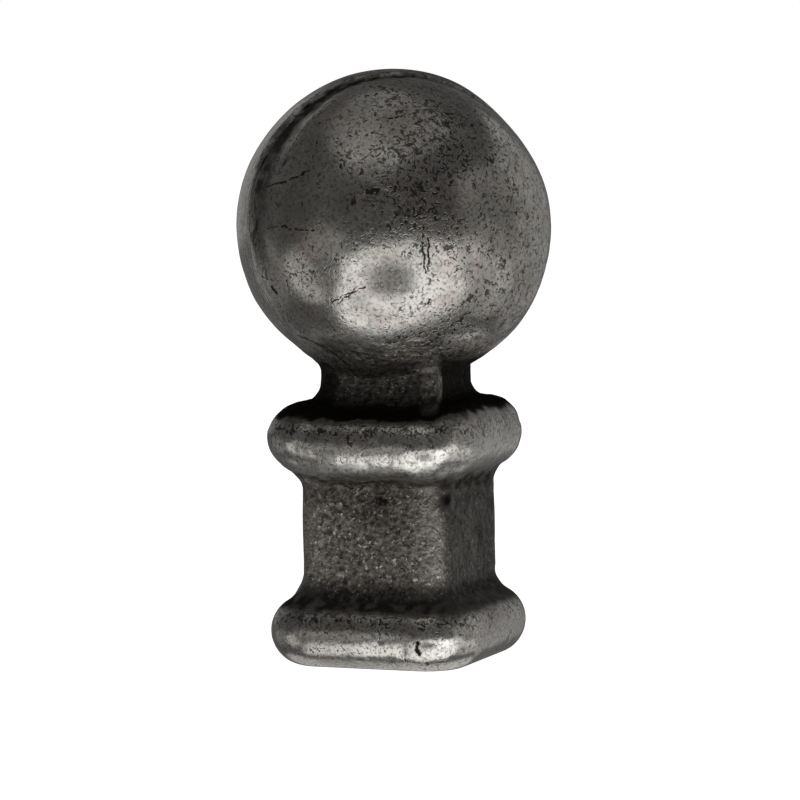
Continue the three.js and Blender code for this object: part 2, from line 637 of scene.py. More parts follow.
def stroke_group() -> bpy.types.NodeTree:
    """Mask of a straight stroke in space.

    The distance to the stroke's segment is divided by its half width times the swell, and the mask falls
    from 1 on the segment to 0 at the edge. The shake moves the line aside, a little less where a mark laid
    before crosses it. The result is the larger of this mark and the ones before.

    Returns:
        The node group.
    """
    steadying, edge = -0.2, (0.5, 1.25)
    sheet, given, put = new_group(
        "stroke_mark",
        (("Place", VECTOR), ("Shake", VECTOR), ("Swell", VALUE), ("Start", VECTOR), ("End", VECTOR),
         ("Half Width", VALUE), ("Darkness", VALUE), ("Before", VALUE)),
        (("Mask", VALUE),),
    )
    along = sheet.vector("SUBTRACT", given.outputs["End"], given.outputs["Start"])
    steadied = sheet.math("MULTIPLY_ADD", given.outputs["Before"], steadying, 1.0)
    shaken = sheet.vector("ADD", sheet.scaled(given.outputs["Shake"], steadied), given.outputs["Place"])
    offset = sheet.vector("SUBTRACT", shaken, given.outputs["Start"])
    whole = sheet.vector("DOT_PRODUCT", along, along, out="Value")
    share = sheet.math("DIVIDE", sheet.vector("DOT_PRODUCT", offset, along, out="Value"), whole, clamp=True)
    apart = sheet.vector("DISTANCE", offset, sheet.scaled(along, share), out="Value")
    reach = sheet.math("MULTIPLY", given.outputs["Half Width"], given.outputs["Swell"])
    inside = sheet.span(sheet.math("DIVIDE", apart, reach), edge, (1.0, 0.0))
    mark = sheet.math("MULTIPLY", inside, given.outputs["Darkness"])
    sheet.feed(put.inputs["Mask"], sheet.math("MAXIMUM", mark, given.outputs["Before"]))
    return sheet.tree


def rust_pit_group() -> bpy.types.NodeTree:
    """Mask of the soft crooked pits that rust leaves in cast iron.

    A warped noise is low in crooked spots. The mask is 1 where the noise is well below a level and falls
    to 0 over a soft edge. The level rises with the amount and with a broad noise that gathers the pits.

    Returns:
        The node group.
    """
    crooked, gathering = (1.0, 0.5, 1.1), (0.16, 2.0, 0.6)
    gathered, level_rise, lowest_level, soft_edge = 0.4, 0.2, 0.28, 0.14
    sheet, given, put = new_group(
        "rust_pits",
        (("Place", VECTOR), ("Size", VALUE), ("Amount", VALUE)),
        (("Mask", VALUE),),
    )
    fineness = sheet.math("DIVIDE", 1.0, given.outputs["Size"])
    spots = sheet.noise(given.outputs["Place"], fineness, *crooked)
    patch = sheet.noise(given.outputs["Place"], *gathering)
    centred = sheet.math("MULTIPLY_ADD", patch, gathered, -gathered / 2)
    wanted = sheet.math("ADD", centred, given.outputs["Amount"])
    level = sheet.math("MULTIPLY_ADD", wanted, level_rise, lowest_level)
    sheet.feed(put.inputs["Mask"], sheet.span(sheet.math("SUBTRACT", level, spots), (0.0, soft_edge)))
    return sheet.tree


@dataclass(frozen=True)
class Layers:
    """Sockets that the finish's colour, roughness and bump are mixed from."""

    place: Socket
    # Mask of painted shade: black in hollows, creases, gaps and faces turned away, where shade falls.
    painted_shade: Socket
    sand: Socket
    rim: Socket
    # Rubbed metal, and a painted highlight on the upper collar's roll.
    wear_and_sheen: Socket
    scored: Socket
    pits: Socket
    grain: Socket
    coarse: Socket
    mottle: Socket
    streak: Socket


@dataclass(frozen=True)
class IronFinish:
    """Bare burnished cast iron: dull grey metal, black oxide in pits and painted black shade in hollows,
    bright where it is rubbed and where a highlight is painted.

    Noises are given as cells in a mm, octaves and the weight of the finer octaves. Depths are in mm, in
    pairs for the worked metal and the sand skin. A span is where something sets in, in values of its noise
    or mask.
    """

    name: str = "burnished_cast_iron"
    metal: Colour = (0.372, 0.355, 0.329, 1.0)
    brown_dull: Colour = (0.265, 0.236, 0.215, 1.0)
    green_dull: Colour = (0.24, 0.236, 0.213, 1.0)
    grime: Colour = (0.13, 0.118, 0.104, 1.0)
    ground_and_highlight: Colour = (0.57, 0.548, 0.514, 1.0)
    light_skin: Colour = (0.22, 0.197, 0.174, 1.0)
    dark_skin: Colour = (0.048, 0.042, 0.037, 1.0)
    pit_and_shade_black: Colour = (0.004, 0.0033, 0.0026, 1.0)
    grain_noise: tuple[float, ...] = (2.0, 2.0, 0.5)
    coarse_noise: tuple[float, ...] = (1.2, 2.0, 0.55)
    mottle_noise: tuple[float, ...] = (0.16, 4.0, 0.6)
    tint_noise: tuple[float, ...] = (0.3, 2.0)
    glint_noise: tuple[float, ...] = (1.7, 1.0)
    line_noise: tuple[float, ...] = (1.0, 3.0)
    swell_noise: tuple[float, ...] = (2.2, 2.0)
    shake_cells: float = 0.8
    tint_span: Span = (0.38, 0.62)
    mottle_span: Span = (0.36, 0.66)
    skin_span: Span = (0.3, 0.68)
    glint_span: Span = (0.62, 0.74)
    glint_share: float = 0.75
    brush_stretch: Triple = (1.5, 1.5, 0.35)
    brush_span: Span = (0.3, 0.68)
    brush_share: Span = (0.4, 1.0)
    grime_span: Span = (0.54, 0.32)
    grime_share: float = 0.7
    streak_span: Span = (0.36, 0.6)
    streak_across: float = 3.0
    streak_along: float = 0.3
    smooth_roughness: float = 0.19
    dull_roughness: float = 0.25
    rough_roughness: float = 0.55
    gloss_span: Span = (0.35, 0.7)
    matt_span: Span = (0.6, 0.95)
    matt_metallic: float = 0.1
    pit_layers: tuple[Span, ...] = ((1.05, 0.34), (0.68, 0.3))
    pit_crowding: float = 0.7
    pit_darkness: Span = (0.8, 0.2)
    pit_depth: float = 0.022
    grain_depth: Span = (0.005, 0.15)
    coarse_depth: Span = (0.02, 0.25)
    swell_span: Span = (0.3, 0.7)
    swell_width: Span = (0.6, 1.4)
    ball_skin_end: Span = (0.8, 1.4)
    front_flattening: Triple = (1.0, 0.3, 1.0)

    def material(self, strokes: Iterable[Stroke], sizes: SpikeSizes) -> bpy.types.Material:
        """The finish as a node material.

        Args:
            strokes: Strokes of all the marks.
            sizes: Sizes of the casting.

        Returns:
            The material.
        """
        made = bpy.data.materials.new(self.name)
        made.use_nodes = True
        made.node_tree.nodes.clear()
        sheet = Sheet(made.node_tree)
        layers = self._layers(sheet, strokes, sizes)
        colour = self._colour(sheet, layers)
        roughness = self._roughness(sheet, layers)
        bump = sheet.node("ShaderNodeBump")
        bump.inputs["Strength"].default_value = 1.0
        bump.inputs["Distance"].default_value = MM
        sheet.feed(bump.inputs["Height"], self._height(sheet, layers))
        shader = sheet.node("ShaderNodeBsdfPrincipled")
        shader.inputs["Specular IOR Level"].default_value = 0.0
        # Where shade is painted the surface also turns matt, so the painted shade stays black at grazing
        # views.
        metallic = sheet.span(layers.painted_shade, self.matt_span, (1.0, self.matt_metallic))
        sheet.feed(shader.inputs["Metallic"], metallic)
        sheet.feed(shader.inputs["Base Color"], colour)
        sheet.feed(shader.inputs["Roughness"], roughness)
        sheet.feed(shader.inputs["Normal"], bump.outputs["Normal"])
        end = sheet.node("ShaderNodeOutputMaterial")
        sheet.feed(end.inputs["Surface"], shader.outputs["BSDF"])
        return made

    def _layers(self, sheet: Sheet, strokes: Iterable[Stroke], sizes: SpikeSizes) -> Layers:
        """The masks stored on the mesh, the marks, the pits and the shared noises.

        Args:
            sheet: Sheet of the material.
            strokes: Strokes of all the marks.
            sizes: Sizes of the casting.

        Returns:
            The sockets by name.
        """
        place = self._place(sheet)
        names = ("painted_shade", "sand", "rim", "wear_and_sheen", "speckle")
        stored = {name: self._attribute(sheet, name) for name in names}
        speckle = stored.pop("speckle")
        return Layers(
            place=place,
            scored=self._strokes(sheet, place, strokes, sizes),
            pits=self._pits(sheet, place, speckle),
            grain=sheet.noise(place, *self.grain_noise),
            coarse=sheet.noise(place, *self.coarse_noise),
            mottle=sheet.noise(place, *self.mottle_noise),
            streak=self._streaks(sheet, place, sizes),
            **stored,
        )

    def _colour(self, sheet: Sheet, layers: Layers) -> Socket:
        """Worn metal, sand skin with painted glints, ground rim and rubbed edges with a painted highlight on
        the upper collar's roll laid over each other, then grime, then black oxide in the pits and marks and
        painted black shade in the hollows.

        Args:
            sheet: Sheet of the material.
            layers: Sockets to mix from.

        Returns:
            The colour's socket.
        """
        pit_share = sheet.span(layers.rim, (0.0, 1.0), self.pit_darkness)
        dark = sheet.math("MAXIMUM", layers.scored, sheet.math("MULTIPLY", layers.pits, pit_share))
        # The pits and marks turn oxide black, and so does the painted shade of the hollows.
        dark = sheet.math("MAXIMUM", dark, layers.painted_shade)
        tint = sheet.span(sheet.noise(layers.place, *self.tint_noise), self.tint_span)
        dull = sheet.mix(tint, self.brown_dull, self.green_dull)
        worn = sheet.mix(sheet.span(layers.mottle, self.mottle_span), dull, self.metal)
        skin = sheet.mix(sheet.span(layers.coarse, self.skin_span), self.light_skin, self.dark_skin)
        # Glints are painted highlights: small flecks of the bright colour on the sand skin.
        glint = sheet.span(sheet.noise(layers.place, *self.glint_noise), self.glint_span)
        skin = sheet.mix(sheet.math("MULTIPLY", glint, self.glint_share), skin, self.ground_and_highlight)
        worn = sheet.mix(layers.sand, worn, skin)
        worn = sheet.mix(layers.rim, worn, sheet.mix(layers.streak, self.brown_dull, self.ground_and_highlight))
        brushed = sheet.noise(sheet.vector("MULTIPLY", layers.place, self.brush_stretch), *self.line_noise)
        # The bright colour over this mask is rubbed metal, and on the upper collar's roll a painted
        # highlight.
        rub_and_sheen = sheet.math("MULTIPLY", layers.wear_and_sheen, sheet.span(brushed, self.brush_span, self.brush_share))
        worn = sheet.mix(rub_and_sheen, worn, self.ground_and_highlight)
        dirty = sheet.span(layers.grain, self.grime_span, (0.0, self.grime_share))
        worn = sheet.mix(dirty, worn, self.grime)
        return sheet.mix(dark, worn, self.pit_and_shade_black)

    def _roughness(self, sheet: Sheet, layers: Layers) -> Socket:
        """Smooth metal, duller in patches, and rough in the marks, where shade is painted and on the sand
        skin.

        Args:
            sheet: Sheet of the material.
            layers: Sockets to mix from.

        Returns:
            The roughness's socket.
        """
        gloss = sheet.span(layers.mottle, self.gloss_span, (self.dull_roughness, self.smooth_roughness))
        rough = sheet.math("MAXIMUM", sheet.math("MAXIMUM", layers.scored, layers.painted_shade), layers.sand)
        return sheet.math("MULTIPLY_ADD", rough, self.rough_roughness - self.smooth_roughness, gloss)

    def _height(self, sheet: Sheet, layers: Layers) -> Socket:
        """Height of the bump in mm: the pits sunk, the two grains raised most on the sand skin.

        Args:
            sheet: Sheet of the material.
            layers: Sockets to mix from.

        Returns:
            The height's socket.
        """
        height = sheet.math("MULTIPLY", layers.pits, -self.pit_depth)
        for noise, depth in ((layers.grain, self.grain_depth), (layers.coarse, self.coarse_depth)):
            height = sheet.math("MULTIPLY_ADD", noise, sheet.span(layers.sand, (0.0, 1.0), depth), height)
        return height

    def _place(self, sheet: Sheet) -> Socket:
        """Object coordinates in mm."""
        coordinates = sheet.node("ShaderNodeTexCoord")
        return sheet.vector("MULTIPLY", coordinates.outputs["Object"], (1.0 / MM,) * 3)

    def _attribute(self, sheet: Sheet, name: str) -> Socket:
        """A mask stored on the mesh's points."""
        return sheet.node("ShaderNodeAttribute", attribute_name=name).outputs["Fac"]

    def _strokes(self, sheet: Sheet, place: Socket, strokes: Iterable[Stroke], sizes: SpikeSizes) -> Socket:
        """The largest of all stroke masks, each in the flattened coordinates of its place.

        Args:
            sheet: Sheet of the material.
            place: Object coordinates in mm.
            strokes: Strokes of all the marks.
            sizes: Sizes of the casting.

        Returns:
            The mask.
        """
        group = stroke_group()
        from_ball = sheet.vector("SUBTRACT", place, (0.0, 0.0, sizes.ball_height))
        outward = sheet.vector("NORMALIZE", from_ball)
        spots = {
            Place.BALL: sheet.vector("MULTIPLY", outward, (sizes.ball_radius,) * 3),
            Place.FRONT: sheet.vector("MULTIPLY", place, self.front_flattening),
        }
        shakes = {kind: self._shake(sheet, spot) for kind, spot in spots.items()}
        swells = {kind: self._swell(sheet, spot) for kind, spot in spots.items()}
        skin_end = (sizes.ball_radius + self.ball_skin_end[0], sizes.ball_radius + self.ball_skin_end[1])
        near_ball = sheet.span(sheet.vector("LENGTH", from_ball, out="Value"), skin_end, (1.0, 0.0))
        totals: dict[Place, object] = {kind: 0.0 for kind in Place}
        for stroke in strokes:
            node = sheet.node("ShaderNodeGroup", node_tree=group)
            sheet.feed(node.inputs["Place"], spots[stroke.place])
            sheet.feed(node.inputs["Shake"], shakes[stroke.place])
            sheet.feed(node.inputs["Swell"], swells[stroke.place])
            node.inputs["Start"].default_value = stroke.start
            node.inputs["End"].default_value = stroke.end
            node.inputs["Half Width"].default_value = stroke.half_width
            node.inputs["Darkness"].default_value = stroke.darkness
            sheet.feed(node.inputs["Before"], totals[stroke.place])
            totals[stroke.place] = node.outputs["Mask"]
        ball = sheet.math("MULTIPLY", totals[Place.BALL], near_ball)
        return sheet.math("MAXIMUM", ball, totals[Place.FRONT])

    def _shake(self, sheet: Sheet, spot: Socket) -> Socket:
        """Small sideways shift that makes straight strokes crooked: a colour noise less its mean.

        Args:
            sheet: Sheet of the material.
            spot: Flattened coordinates of the strokes' place.

        Returns:
            The shift's socket.
        """
        wobble = sheet.node("ShaderNodeTexNoise")
        sheet.feed(wobble.inputs["Vector"], spot)
        sheet.feed(wobble.inputs["Scale"], self.shake_cells)
        return sheet.vector("SUBTRACT", wobble.outputs["Color"], (0.5, 0.5, 0.5))

    def _swell(self, sheet: Sheet, spot: Socket) -> Socket:
        """Factor by which strokes widen and narrow along their way."""
        return sheet.span(sheet.noise(spot, *self.swell_noise), self.swell_span, self.swell_width)

    def _pits(self, sheet: Sheet, place: Socket, speckle: Socket) -> Socket:
        """Coarse and fine rust pits together, more of them where the speckle mask is high.

        Args:
            sheet: Sheet of the material.
            place: Object coordinates in mm.
            speckle: Mask of the places where pits crowd.

        Returns:
            The mask's socket.
        """
        group = rust_pit_group()
        total: object = 0.0
        for size, amount in self.pit_layers:
            node = sheet.node("ShaderNodeGroup", node_tree=group)
            sheet.feed(node.inputs["Place"], place)
            node.inputs["Size"].default_value = size
            crowded = sheet.math("MULTIPLY_ADD", speckle, self.pit_crowding, amount)
            sheet.feed(node.inputs["Amount"], crowded)
            total = sheet.math("MAXIMUM", total, node.outputs["Mask"])
        return total

    def _streaks(self, sheet: Sheet, place: Socket, sizes: SpikeSizes) -> Socket:
        """Fine grinding lines that run along the parting line: a noise drawn out along its plane.

        Args:
            sheet: Sheet of the material.
            place: Object coordinates in mm.
            sizes: Sizes of the casting.

        Returns:
            The mask's socket.
        """
        across = facing(sizes.parting_turn, sizes.parting_rise)
        ahead = sheet.vector("DOT_PRODUCT", place, tuple(across), out="Value")
        squeezed = sheet.scaled(tuple(across * self.streak_across), ahead)
        lines = sheet.vector("MULTIPLY_ADD", place, (self.streak_along,) * 3, squeezed)
        return sheet.span(sheet.noise(lines, *self.line_noise), self.streak_span)


@dataclass
class Skin:
    """The smooth casting's points, with the places and directions that its masks and relief are laid out by.

    right_start and right_end are the turns between which the right face lies. The groove runs along the
    parting line. Its outer edge lies groove_back behind the parting plane, and groove_widening more along
    the upper left. The rib stands on the neck, rib_aside to the photograph's right of the axis. The flash is
    a thin line on the ball between two directions, given by turn and rise.
    """

    grid: np.ndarray
    profile: SpikeProfile
    raggedness: tuple[Ripple, ...] = (Ripple(0.5, 2.0, 5), Ripple(0.45, 0.9, 6))
    right_start: Span = (38.0, 52.0)
    right_end: Span = (130.0, 140.0)
    ball_start: Edge = Edge(Level.NECK_TOP, (4.0, 7.0), waver=0.0)
    edge_fade: float = 12.0
    groove_back: float = 0.9
    groove_widening: float = 2.0
    groove_wide_part: Span = (20.0, 75.0)
    groove_part: Span = (-12.0, 110.0)
    crease_inside: float = 0.4
    crease_spread: float = 0.5
    groove_raggedness: tuple[Ripple, ...] = (Ripple(0.5, 2.2, 34), Ripple(0.35, 1.0, 35))
    rib_aside: float = 5.3
    rib_half_width: Span = (1.0, 1.9)
    flash_start: Span = (-27.0, 31.0)
    flash_end: Span = (-15.0, 62.0)
    flash_fade: float = 0.05
    flash_spread: float = 0.42
    flash_waver: Ripple = Ripple(0.3, 2.0, 33)

    def __post_init__(self) -> None:
        """Works out the shared coordinates of the points: heights, turns, and distances from planes."""
        sizes = self.profile.sizes
        x, y, self.height = np.moveaxis(self.grid, -1, 0)
        self.turn = np.degrees(np.arctan2(x, -y))
        self.short_side = np.minimum(np.abs(x), np.abs(y))
        self.long_side = np.maximum(np.abs(x), np.abs(y))
        self.normals = outward_normals(self.grid)
        self.ragged = sum(ripple.over(self.grid) for ripple in self.raggedness)
        self.to_right = rising(self.turn, self.right_start) * falling(self.turn, self.right_end)
        self.aside = self.grid @ facing(PHOTO_TURN + 90.0, 0.0)
        self.from_ball = self.grid - np.array([0.0, 0.0, sizes.ball_height])
        self.leftward = self.from_ball @ facing(sizes.parting_turn - 90.0, 0.0)
        self.ahead = self.from_ball @ facing(sizes.parting_turn, sizes.parting_rise) - sizes.parting_offset
        self.on_ball = self.above(self.ball_start)
        self.groove_drift = self.groove_widening * self.along_edge(self.groove_wide_part)

    def over(self, level: Level, waver: float = 0.0, lift: float | np.ndarray = 0.0) -> np.ndarray:
        """Height above a level in mm.

        Args:
            level: Level of the casting.
            waver: Share of the skin's raggedness that is added.
            lift: How much higher the level is taken to be.

        Returns:
            The heights.
        """
        return self.height - self.profile.level(level) + waver * self.ragged - lift

    def above(self, edge: Edge, lift: float | np.ndarray = 0.0) -> np.ndarray:
        """0 below an edge and 1 above it.

        Args:
            edge: The edge.
            lift: How much higher the edge is taken to lie.

        Returns:
            The mask.
        """
        return rising(self.over(edge.level, edge.waver, edge.right * self.to_right + lift), edge.fade)

    def between(self, edges: tuple[Edge, Edge]) -> np.ndarray:
        """1 above the first edge and below the second, 0 elsewhere."""
        start, end = edges
        return self.above(start) * (1.0 - self.above(end))

    def by_side(self, strength: Span) -> np.ndarray:
        """Goes from the first strength on the front to the second on the right face."""
        front, right = strength
        return front + (right - front) * self.to_right

    def along_edge(self, span: Span) -> np.ndarray:
        """1 between two angles round the parting line, in degrees from the ball's left towards its top."""
        return within(np.degrees(np.arctan2(self.from_ball[..., 2], self.leftward)), span, self.edge_fade)

    def inside_groove(self) -> np.ndarray:
        """Distance in mm from the groove's ragged outer edge towards the ball's front."""
        ragged = sum(ripple.over(self.grid) for ripple in self.groove_raggedness)
        return self.ahead + self.groove_back + self.groove_drift + ragged

    def crease(self) -> np.ndarray:
        """1 in the groove's crease: a bell curve of the distance inside its outer edge."""
        return bell(self.inside_groove(), self.crease_inside, self.crease_spread)

    def rib(self) -> np.ndarray:
        """1 on the upright rib at the neck's front right corner, by the distance from its middle line."""
        in_front = self.grid @ facing(PHOTO_TURN, 0.0) > 0.0
        return falling(np.abs(self.aside - self.rib_aside), self.rib_half_width) * in_front

    def flash(self) -> np.ndarray:
        """The thin line of flash left standing in front of the groove.

        It is a bell curve of the distance from the plane through the line and the ball's centre.

        Returns:
            The mask, 1 along the line.
        """
        start, end = facing(*self.flash_start), facing(*self.flash_end)
        plane = np.cross(start, end)
        away = self.from_ball @ (plane / np.linalg.norm(plane)) + self.flash_waver.over(self.grid)
        along = self.from_ball @ (end - start) / self.profile.sizes.ball_radius
        ends = (start @ (end - start), end @ (end - start))
        return bell(away, 0.0, self.flash_spread) * within(along, ends, self.flash_fade)


@dataclass
class SkinMasks:
    """Masks over the skin that the finish is mixed by, each from 0 to 1.

    Pairs of edges are where a stretch of the stem begins and ends. Pairs called dark are strengths of
    painted shade for the front and for the right face, and pairs of wear and of painted sheen are for away
    from the left corner and at it. Names that end in turn hold the turns in degrees, and in normal the part
    of the normal, over which something sets in.
    """

    skin: Skin
    shaft_edges: tuple[Edge, Edge] = (
        Edge(Level.LOWER_COLLAR_TOP, (-1.2, 0.6)), Edge(Level.UPPER_COLLAR_FOOT, (-0.3, 0.9)),
    )
    neck_edges: tuple[Edge, Edge] = (Edge(Level.NECK_TOP, (-3.8, -3.0)), Edge(Level.NECK_TOP, (5.0, 8.5)))
    corner_rub_and_sheen: float = 0.3
    corner_rub_and_sheen_start: Span = (0.5, 0.85)

    patch_depth: Span = (0.4, 0.15)
    patch_ripple: Ripple = Ripple(1.0, 1.0, 9)
    patch_span: Span = (-0.2, 0.8)
    foot_dark: Span = (0.958, 0.855)
    foot_edges: tuple[Edge, Edge] = (
        Edge(Level.LOWER_COLLAR_TOP, (-2.5, -1.3), 0.35),
        Edge(Level.LOWER_COLLAR_TOP, (-0.2, 3.6), 0.6, 1.6),
    )
    under_collar_dark: float = 0.92
    under_collar_lift: Span = (0.0, -1.3)
    under_collar_spread: Span = (1.2, 2.0)
    shoulder_dark: Span = (0.0, 0.45)
    shoulder_dark_height: float = -1.4
    shoulder_dark_spread: float = 1.2
    shaft_head_dark: Span = (0.5, 0.75)
    shaft_head_edges: tuple[Edge, Edge] = (
        Edge(Level.UPPER_COLLAR_FOOT, (-7.0, -1.5), 1.0, -2.5), Edge(Level.UPPER_COLLAR_FOOT, (-0.5, 1.0)),
    )
    turned_away_dark: float = 0.64
    turned_away_ripple: Ripple = Ripple(0.25, 3.0, 21)
    turned_away_normal: Span = (0.72, 1.0)
    rear_right_dark: float = 0.74
    rear_right_normal: Span = (0.6, 0.9)
    rear_right_depth: Span = (-2.0, 7.0)
    below_ball_dark: float = 0.68
    below_ball_aside: Span = (-4.0, 2.0)
    below_ball_edges: tuple[Edge, Edge] = (
        Edge(Level.NECK_TOP, (1.0, 2.5)), Edge(Level.NECK_TOP, (6.5, 10.0)),
    )
    stem_spots: tuple[StemSpot, ...] = (
        StemSpot((12.4, -10.0, 26.6), 1.8, 1.0), StemSpot((1.5, -12.7, 26.2), 3.4, 0.7),
    )
    stem_spot_waver: float = 0.7
    neck_gap_start: Edge = Edge(Level.UPPER_COLLAR_TOP, (-3.3, -1.7), 0.75, 0.75)
    neck_gap_end: Edge = Edge(Level.NECK_TOP, (3.2, 5.4), 0.8)
    neck_gap_right_lift: float = 0.5
    neck_light_start: Edge = Edge(Level.NECK_TOP, (-3.3, -1.2), 0.35)
    neck_light: float = 0.47
    neck_light_beside: float = -0.42
    neck_light_rib: float = 0.22
    neck_light_least: float = 0.05
    neck_light_rib_lift: float = -0.6
    neck_left_turn: Span = (24.0, 34.0)
    neck_right_aside: Span = (6.4, 7.4)

    groove_dark: float = 0.95
    groove_start: Span = (-0.2, 0.6)
    groove_end: Span = (0.3, 2.8)
    groove_end_waver: float = 1.3
    crease_dark: float = 0.92
    crease_ripple: Ripple = Ripple(0.3, 1.3, 37)
    rear_top_dark: float = 0.6
    rear_top_part: Span = (62.0, 130.0)
    rear_top_end: Span = (0.6, 1.8)
    rim_front: Span = (-0.4, 0.2)
    rim_back: Span = (-20.0, -13.0)
    rim_back_waver: float = 3.0

    upper_collar_edges: tuple[Edge, Edge] = (
        Edge(Level.UPPER_COLLAR_FOOT, (0.3, 1.5), 0.0), Edge(Level.UPPER_COLLAR_TOP, (-3.2, -1.7), 0.0),
    )
    lower_collar_end: Edge = Edge(Level.LOWER_COLLAR_TOP, (-3.3, -1.6), 0.0)
    upper_collar_wear: float = 0.05
    lower_collar_wear: float = 0.08
    corner_wear: Span = (0.6, 0.25)
    corner_wear_start: Span = (0.42, 0.78)
    roll_sheen: Span = (0.85, 0.34)
    roll_sheen_height: float = 2.4
    roll_sheen_spread: float = 1.3
    left_corner_turn: Span = (20.0, 40.0)
    rib_wear: float = 0.08
    rib_wear_ripple: Ripple = Ripple(0.35, 1.0, 31)
    rib_wear_edges: tuple[Edge, Edge] = (
        Edge(Level.UPPER_COLLAR_TOP, (-0.2, 0.5), 0.35), Edge(Level.NECK_TOP, (2.5, 4.5), 0.35),
    )
    flash_wear: float = 0.7

    ball_pits: float = 0.67
    ball_pit_ripple: Ripple = Ripple(0.2, 14.0, 8)
    left_smoothing: float = 0.6
    left_smoothing_start: Span = (1.0, 14.0)
    left_smoothing_top: Edge = Edge(Level.BALL_MIDDLE, (5.0, 11.0), 0.0)
    left_smoothing_top_loss: float = 0.7
    ball_pit_spots: tuple[BallSpot, ...] = (
        BallSpot(21.0, -16.0, 7.0, -0.7), BallSpot(-14.0, 9.0, 9.0, -0.6), BallSpot(51.0, 12.5, 5.0, -0.6),
        BallSpot(30.0, 23.0, 14.0, 0.38), BallSpot(47.0, 38.0, 9.0, 0.5), BallSpot(50.0, -31.0, 8.0, 0.05),
        BallSpot(38.0, -17.0, 9.0, -0.3), BallSpot(14.0, -26.0, 9.0, -0.25),
        BallSpot(-13.7, -13.0, 6.0, 0.7),
    )
    stem_pits: float = 0.06
    shoulder_pits: tuple[tuple[Level, float], ...] = (
        (Level.UPPER_COLLAR_TOP, -3.4), (Level.LOWER_COLLAR_TOP, -2.6),
    )
    shoulder_pit_spread: float = 1.1

    def all(self) -> dict[str, np.ndarray]:
        """Every mask, held between 0 and 1.

        Returns:
            The masks by the names that the finish reads them by.
        """
        found = {
            "sand": self.sand(),
            "painted_shade": self.painted_shade(),
            "rim": self.rim(),
            "speckle": self.speckle(),
            "wear_and_sheen": self.wear_and_sheen(),
        }
        return {name: np.clip(mask, 0.0, 1.0) for name, mask in found.items()}

    def sand(self) -> np.ndarray:
        """Unworked skin of shaft and neck, thinned a little along the shaft's corners for rubbed metal and a
        painted highlight.

        Returns:
            The mask.
        """
        skin = self.skin
        to_corner = skin.short_side / skin.profile.sizes.shaft_half
        # Lighter metal on the shaft's corners: partly rubbed metal, partly a painted highlight.
        rub_and_sheen = 1.0 - self.corner_rub_and_sheen * rising(to_corner, self.corner_rub_and_sheen_start)
        return np.maximum(skin.between(self.shaft_edges) * rub_and_sheen, skin.between(self.neck_edges))

    def painted_shade(self) -> np.ndarray:
        """Painted shade: the largest of the patchy shades, the deeper foot and groove, and the neck's gap.

        Returns:
            The mask.
        """
        skin = self.skin
        patches = rising(self.patch_ripple.over(skin.grid), self.patch_span)
        patchy = 1.0 - skin.by_side(self.patch_depth) * patches
        shade = np.max([self._stem_shade(), self._stem_spots(), self._rear_top()], axis=0)
        foot = skin.by_side(self.foot_dark) * skin.between(self.foot_edges)
        deep = np.maximum(foot, self._groove())
        return np.max([shade * patchy, deep * (1.0 + patchy) / 2.0, self._neck_gap()], axis=0)

    def _stem_shade(self) -> np.ndarray:
        """Painted shade on stretches of the stem: under and on the upper collar, on the shaft, and below the
        ball.

        Returns:
            The mask.
        """
        skin = self.skin
        shaft = skin.between(self.shaft_edges)
        from_foot = skin.over(Level.UPPER_COLLAR_FOOT, 1.0, skin.by_side(self.under_collar_lift))
        under_collar = self.under_collar_dark * bell(from_foot, 0.0, skin.by_side(self.under_collar_spread))
        from_top = skin.over(Level.UPPER_COLLAR_TOP, 1.0)
        on_shoulder = bell(from_top, self.shoulder_dark_height, self.shoulder_dark_spread)
        shoulder = skin.by_side(self.shoulder_dark) * on_shoulder
        shaft_head = skin.by_side(self.shaft_head_dark) * skin.between(self.shaft_head_edges)
        # Painted shade on the shaft's faces turned away to the right, darker still towards the rear.
        out_x, out_y = skin.normals[..., 0], skin.normals[..., 1]
        turned_away = shaft * rising(np.maximum(out_x, out_y), self.turned_away_normal)
        turned_away = turned_away * (self.turned_away_dark + self.turned_away_ripple.over(skin.grid))
        at_rear = rising(out_x, self.rear_right_normal) * rising(skin.grid[..., 1], self.rear_right_depth)
        rear_right = self.rear_right_dark * shaft * at_rear
        at_left = self.below_ball_dark * falling(skin.aside, self.below_ball_aside)
        below_ball = at_left * skin.between(self.below_ball_edges)
        return np.max([under_collar, shoulder, shaft_head, turned_away, rear_right, below_ball], axis=0)

    def _stem_spots(self) -> np.ndarray:
        """Painted shade in soft dark spots on the shaft, by the distance from their middles.

        Returns:
            The mask.
        """
        shade = np.zeros_like(self.skin.height)
        for spot in self.stem_spots:
            away = np.linalg.norm(self.skin.grid - np.array(spot.middle), axis=-1)
            away = away + self.stem_spot_waver * self.skin.ragged
            shade = np.maximum(shade, spot.strength * bell(away, 0.0, spot.spread))
        return shade

    def _neck_gap(self) -> np.ndarray:
        """Painted black shade in the gap between collar and ball, lighter on the neck's front face and on
        the rib.

        Returns:
            The mask.
        """
        skin, rib = self.skin, self.skin.rib()
        at_right = rising(skin.aside, self.neck_right_aside)
        beside = rising(-skin.turn, self.neck_left_turn) + at_right
        light = self.neck_light + self.neck_light_beside * beside + self.neck_light_rib * rib
        light = np.clip(light, self.neck_light_least, 1.0)
        light = light * skin.above(self.neck_light_start, self.neck_light_rib_lift * rib)
        end = skin.above(self.neck_gap_end, self.neck_gap_right_lift * at_right)
        return skin.above(self.neck_gap_start) * (1.0 - light) * (1.0 - end)

